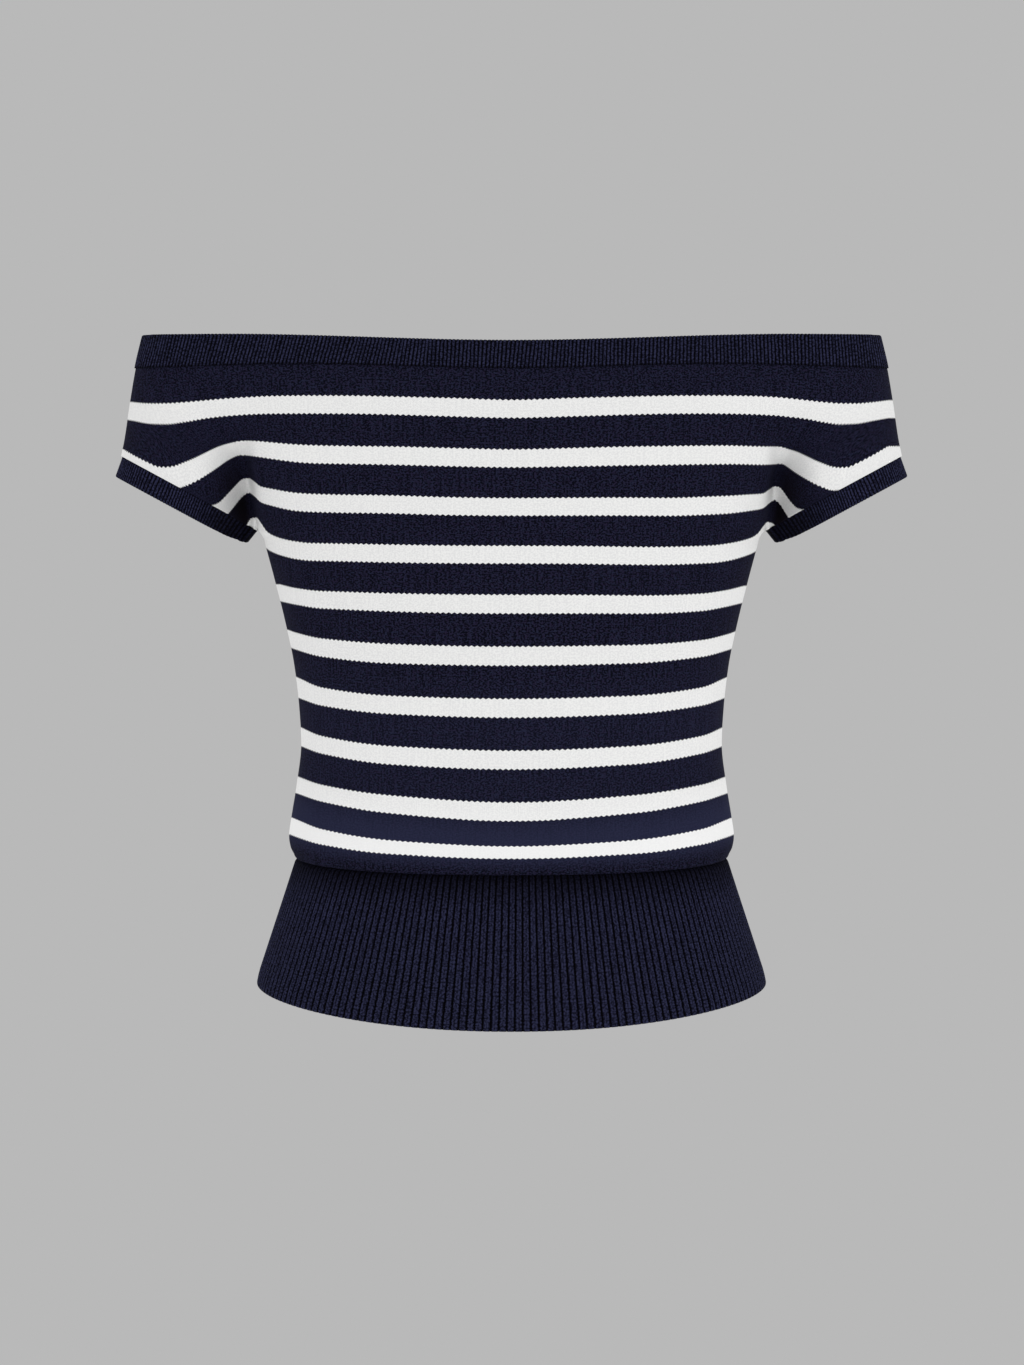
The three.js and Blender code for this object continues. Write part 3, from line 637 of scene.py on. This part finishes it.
def neck_line(up):
    """The cloth's own outline at one height, a share up the band, standing a little proud of the
    panels. Its upper edge dips at the centre and lies a little lower at the back, and its seam
    runs in a shallow wave, lowest at the centre."""
    turn = 2 * np.pi * np.arange(LINE_STEPS) / LINE_STEPS
    side = np.where(np.sin(turn) > 0, BACK, FRONT)
    across = np.cos(turn)
    dip = NECK_DIP * (1 - ease(np.abs(across * arm_outer(np.zeros(1))) / NECK_DIP_HALF_WIDTH))
    top = BAND_EDGE_Z - dip - NECK_BACK_DROP * np.clip(np.sin(turn), 0, 1)
    wave = NECK_SEAM_WAVE * np.cos(np.pi * across * arm_outer(np.zeros(1)) / NECK_SEAM_WAVE_HALF)
    z = mix(NECK_SEAM_Z - wave, top - NECK_BAND_THICKNESS / 2, up)
    x = across * arm_outer(z)
    deep = np.where(side == BACK, cloth_depth(x, z, BACK), cloth_depth(x, z, FRONT))
    return np.stack([x + NECK_PROUD * across, side * deep + NECK_PROUD * np.sin(turn), z], axis=1)


# The rib's yarn: the painted shade of the grooves, then a darker and a lighter crown mixed at
# random. Its foot, under the band or the blouse, is painted in shade that keeps this share of the
# light, and so is a rib that lies in a hollow.
RIB_NAVY_PAINTED_SHADE, RIB_NAVY, RIB_NAVY_LIT = "#050408", "#121322", "#2D2F49"
RIB_FOOT_SHADE, DARK_RIB_SHADE, DARK_RIBS = 0.2, 0.3, (2.0, 22.0)
RIB_COURSE = 0.9


def new_rib(name, wales_a_rib, groove, crease, foot, shaded_rib=None):
    """Rib knit: columns of loops crowded into ribs, with painted shade in the narrow grooves
    between them, a fainter painted shade in the crease between the wales of one rib, and painted
    shade along its foot, from a start to an end in mm, and round one rib where it lies in a hollow.
    The groove's width and the crease's depth are shares."""
    material, tree, shader, rib, along = new_cloth(name)
    wale = sum_up(tree, "MULTIPLY", rib, wales_a_rib)
    course = sum_up(tree, "DIVIDE", along, RIB_COURSE)
    grain = speckle(tree, sum_up(tree, "MULTIPLY", wale, 2.3), course, 0.8)
    streaks = speckle(tree, wale, sum_up(tree, "MULTIPLY", course, 0.1), 0.7, 2.0)
    uneven = sum_up(tree, "MULTIPLY_ADD", streaks, 1.4, sum_up(
        tree, "MULTIPLY_ADD", grain, 5.0, -2.7))

    to_groove, to_crease = (
        sum_up(tree, "SUBTRACT", 0.5, off_middle(tree, number)) for number in (rib, wale))
    ragged = sum_up(tree, "MULTIPLY_ADD", grain, 0.26, sum_up(tree, "ADD", to_groove, -0.13))
    # Painted shade: the shares of light kept beside the grooves, in the crease between wales and
    # along the foot
    groove_shade_factor = ramp(tree, ragged, groove * 0.3, groove * 1.6)
    crease_shade_factor = ramp(tree, to_crease, 0.0, 0.3, 1 - crease)
    foot_shade_factor = ramp(tree, along, *foot, RIB_FOOT_SHADE)
    painted_shade_factor = sum_up(tree, "MULTIPLY", foot_shade_factor, sum_up(tree, "MULTIPLY", groove_shade_factor, crease_shade_factor))
    # Painted shade round one rib that lies in a hollow
    if shaded_rib is not None:
        away = sum_up(tree, "ABSOLUTE", sum_up(tree, "SUBTRACT", rib, shaded_rib))
        painted_shade_factor = sum_up(tree, "MULTIPLY", painted_shade_factor, ramp(tree, away, *DARK_RIBS, DARK_RIB_SHADE))

    crown = blend(tree, uneven, linear(RIB_NAVY), linear(RIB_NAVY_LIT))
    # The painted shade mixes the crown towards the groove's colour
    colour = blend(tree, painted_shade_factor, linear(RIB_NAVY_PAINTED_SHADE), crown)
    tree.links.new(colour, shader.inputs["Base Color"])
    add_relief(tree, shader, wale, course, 0.5, 0.3)
    return material


# Fine rib of the same yarn: soft and matt, each rib one cord with painted shade in the groove
# beside it, and painted shade along its foot at the seam
fine_rib = new_rib("fine_rib_knit", 1, 0.25, 0.0, (0.0, 1.6))

rng = np.random.default_rng(11)


def wander(ribs, waves, size):
    """A slow, seeded wandering round a loop: a few sines of rising count and random phase."""
    turn = 2 * np.pi * np.arange(ribs) / ribs
    total = np.zeros(ribs)
    for count in waves:
        total += np.sin(count * turn + rng.uniform(0, 2 * np.pi)) * rng.uniform(0.5, 1)
    return size * total / math.sqrt(len(waves))


neck_lean = NECK_LEAN + wander(NECK_RIBS, SLOW_WAVES, NECK_LEAN_SLOW) + wander(
    NECK_RIBS, QUICK_WAVES, NECK_LEAN_QUICK)
neck_lean = np.repeat(neck_lean, len(FINE_RIB)) / NECK_RIBS
neck_rows = []
for up in np.linspace(0, 1, NECK_ROWS):
    line = neck_line(up)
    steps = np.diff(line, axis=0, append=line[:1])
    over_arm = ease((np.abs(line[:, 0]) - ARM_FLAT_FROM) / ARM_FLAT_FADE)
    steps[:, 1] *= mix(1, ARM_DEPTH_SHARE, over_arm)
    flattened = np.cumsum(steps, axis=0) - steps
    neck_rows.append(evenly(line, NECK_RIBS, FINE_RIB, neck_lean * up, flattened))
points, faces, knit = ribbed_band(
    np.stack(neck_rows), FINE_RIB, NECK_RIBS, NECK_RIB_RAISE, NECK_BAND_THICKNESS)
neck_band = new_piece("neck_band_rib", points, faces, knit, fine_rib, "neck_band")

# Cuffs
# A ribbed loop ends each cap sleeve, about 110 ribs round. It is linked to the sleeve's slanting
# edge and runs from the underarm up to the outside of the arm.
CUFF_RIBS, CUFF_RIB_RAISE, CUFF_THICKNESS = 110, 0.45, 2.0
CUFF_ROWS, CUFF_WIDTH, CUFF_LAP, CUFF_TUCK, CUFF_TAPER = 8, 12.5, 0.4, 1.4, 1.8
# At the underarm the cuff is narrower by a share, over a distance across
CUFF_NARROWED, CUFF_NARROW_WIDTH = 0.22, 9.0
# The depth counts in the spacing of its ribs from a distance from the centre line on
CUFF_DEPTH_FROM, CUFF_DEPTH_FADE = 160.0, 60.0


def cuff_line(hand, down):
    """The sleeve's edge, over the back to the underarm and on over the front, drawn in a little
    towards its middle and moved down, less so at the underarm. The second line measures the
    spacing of its ribs, and counts the depth less towards the underarm, where they spread."""
    t = np.linspace(1, 0, LINE_STEPS // 2, endpoint=False)
    halves = []
    for side, shares in ((BACK, t), (FRONT, 1 - t)):
        x, z = sleeve_cap(np.full(len(t), UNDERARM_Z), shares, side)
        halves.append(np.stack([x, side * cloth_depth(x, z, side), z], axis=1))
    edge = np.concatenate(halves)
    middle = (cuff_start + cuff_end) / 2
    half = np.linalg.norm(cuff_end - cuff_start) / 2
    shrink = 1 - (CUFF_TUCK + CUFF_TAPER * down / CUFF_WIDTH) / half
    away = (edge[:, :1] - cuff_start[0]) / CUFF_NARROW_WIDTH
    narrowed = 1 - CUFF_NARROWED * np.exp(-away ** 2)
    line = middle + (edge - middle) * shrink + cuff_down * down * narrowed
    measured = line.copy()
    measured[:, 1] *= ease((line[:, 0] - CUFF_DEPTH_FROM) / CUFF_DEPTH_FADE)
    return line * np.array([hand, 1, 1]), measured


# The same fine rib, with slightly narrower grooves. It is painted with shade round the middle rib,
# which lies in the hollow of the underarm.
cuff_rib = new_rib("fine_rib_knit_of_cuffs", 1, 0.22, 0.0, (0.0, 1.2), CUFF_RIBS / 2)
cuff_downs = np.linspace(-CUFF_LAP, CUFF_WIDTH - CUFF_THICKNESS / 2, CUFF_ROWS)
for name, hand in (("cuff_left", 1), ("cuff_right", -1)):
    lines = [cuff_line(hand, down) for down in cuff_downs]
    rows = np.stack([evenly(line, CUFF_RIBS, FINE_RIB, measured=measured)
                     for line, measured in lines])
    points, faces, knit = ribbed_band(rows, FINE_RIB, CUFF_RIBS, CUFF_RIB_RAISE, CUFF_THICKNESS)
    cuff = new_piece(name + "_rib", points, faces, knit, cuff_rib, name)

# Hem rib
# The waist is held by a flared tube of wide rib, about 180 ribs round, joined inside the blouse.
# Each rib is two wales wide with a narrow groove beside it, and the hem hangs open.
HEM_RIBS, HEM_RIB_RAISE, HEM_RIB_THICKNESS = 180, 1.1, 1.7
HEM_LAP, HEM_Z, HEM_DIP, HEM_DIP_FROM = 1.0, -383.4, 10.7, -309.0
# How far the rib stands outside the waist seam: height, at the sides, at the centre
HEM_OUT = np.array([(HEM_Z, 28.8, 28.4), (-326, 9.9, 7), (-309, 4.4, 0.8), (-305, 0.2, 0.2),
                    (WAIST_Z, 0, 0)])
# Heights of the rows, close together at the waist and wider apart down to the hem's lip
HEM_ROWS_Z = np.concatenate([np.linspace(WAIST_Z, -312, 8),
                             np.linspace(-316, HEM_Z + HEM_RIB_THICKNESS / 2, 19)])
# The ribs rise below the joint, and sink to a share of their height at the lip: heights and runs
RIBS_RISE_Z, RIBS_RISE_RUN = -303.0, 8.0
RIBS_SINK_Z, RIBS_SINK_RUN, RIBS_AT_LIP = -377.0, 5.0, 0.4
# One rib of two wales, as for the fine rib
WIDE_RIB = np.array([(0, 0), (0.08, 0.5), (0.16, 0.88), (0.3, 1), (0.5, 0.93), (0.7, 1),
                     (0.84, 0.88), (0.92, 0.5)])


def hem_line(z):
    """A rounded ring round the waist, let out below it. The hem itself dips by one less the
    square of the share across, so that it hangs lower at the centre front and back."""
    turn = 2 * np.pi * np.arange(LINE_STEPS) / LINE_STEPS
    across = np.sign(np.cos(turn)) * np.abs(np.cos(turn)) ** (2 / ROUNDNESS)
    deep = np.sign(np.sin(turn)) * np.abs(np.sin(turn)) ** (2 / ROUNDNESS)
    side_out, centre_out = (np.interp(z, HEM_OUT[:, 0], HEM_OUT[:, k]) for k in (1, 2))
    depth = np.where(np.sin(turn) > 0, WAIST_DEPTH[BACK], WAIST_DEPTH[FRONT]) - HEM_LAP
    drop = HEM_DIP * (1 - across ** 2) * ease((HEM_DIP_FROM - z) / (HEM_DIP_FROM - HEM_Z))
    half_width = WAIST_HALF_WIDTH - HEM_LAP + side_out
    return np.stack([half_width * across, (depth + centre_out) * deep, z - drop], axis=1)


rising = ease((RIBS_RISE_Z - HEM_ROWS_Z) / RIBS_RISE_RUN)
sinking = mix(1, RIBS_AT_LIP, ease((RIBS_SINK_Z - HEM_ROWS_Z) / RIBS_SINK_RUN))
points, faces, knit = ribbed_band(
    np.stack([evenly(hem_line(z), HEM_RIBS, WIDE_RIB) for z in HEM_ROWS_Z]),
    WIDE_RIB, HEM_RIBS, HEM_RIB_RAISE * rising * sinking, HEM_RIB_THICKNESS, 3)
# Wide rib of the same yarn: broad matt cords of two wales, with faint painted shade in the crease
# between these and painted shade in the groove beside each cord. Its foot is painted with the
# shadow of the blouse.
wide_rib = new_rib("wide_rib_knit", 2, 0.18, 0.4, (4, 34))
hem = new_piece("hem_wide_rib", points, faces, knit, wide_rib, "hem_rib")

# Studio
# A pale grey floor that melts into an evenly lit grey surround, with one large soft light in
# front, another behind, and no hard shadow. Places and sizes are in metres.
STUDIO_GREY = "#B9B9B9"
SURROUND_LIGHT = 0.9
FLOOR_Z, FLOOR_RADIUS, FLOOR_POINTS = -1.3, 30.0, 64

world = bpy.data.worlds.new("studio_surround")
world.use_nodes = True
world.node_tree.nodes.clear()
rays = add_node(world.node_tree, "ShaderNodeLightPath")
surround = blend(world.node_tree, rays.outputs["Is Camera Ray"], [SURROUND_LIGHT] * 3 + [1],
                 linear(STUDIO_GREY))
background = add_node(world.node_tree, "ShaderNodeBackground", {"Color": surround})
add_node(world.node_tree, "ShaderNodeOutputWorld", {"Surface": background.outputs[0]})
bpy.context.scene.world = world

turn = 2 * np.pi * np.arange(FLOOR_POINTS) / FLOOR_POINTS
ring = np.stack([FLOOR_RADIUS * np.cos(turn), FLOOR_RADIUS * np.sin(turn),
                 np.full(FLOOR_POINTS, FLOOR_Z)], axis=1)
floor_mesh = bpy.data.meshes.new("floor")
floor_mesh.from_pydata(ring.tolist(), [], [list(range(FLOOR_POINTS))])
# Grey paper lit evenly: it shows no horizon and no shadow
paper = bpy.data.materials.new("evenly_lit_grey_paper")
paper.use_nodes = True
paper.node_tree.nodes.clear()
glow = add_node(paper.node_tree, "ShaderNodeEmission", {
    "Color": linear(STUDIO_GREY), "Strength": 1.0})
add_node(paper.node_tree, "ShaderNodeOutputMaterial", {"Surface": glow.outputs[0]})
floor_mesh.materials.append(paper)
floor = bpy.data.objects.new("floor", floor_mesh)
bpy.context.scene.collection.objects.link(floor)
floor.visible_diffuse = floor.visible_glossy = floor.visible_shadow = False


def soft_light(name, place, aim, width, height, watts):
    """A large rectangular soft box at a place, turned to face a point."""
    light = bpy.data.lights.new(name, "AREA")
    light.shape = "RECTANGLE"
    light.size, light.size_y = width, height
    light.energy = watts
    box = bpy.data.objects.new(name, light)
    box.location = place
    box.rotation_euler = (box.location - Vector(aim)).to_track_quat("Z", "Y").to_euler()
    box.visible_camera = False
    bpy.context.scene.collection.objects.link(box)


soft_light("key", (1.4, -2.0, -0.4), (0, 0, -0.2), 1.6, 1.6, 5)
soft_light("back_fill", (0.6, 2.6, 0.2), (0, 0, -0.2), 2.0, 1.6, 5)
bpy.context.scene.view_settings.view_transform = "Standard"
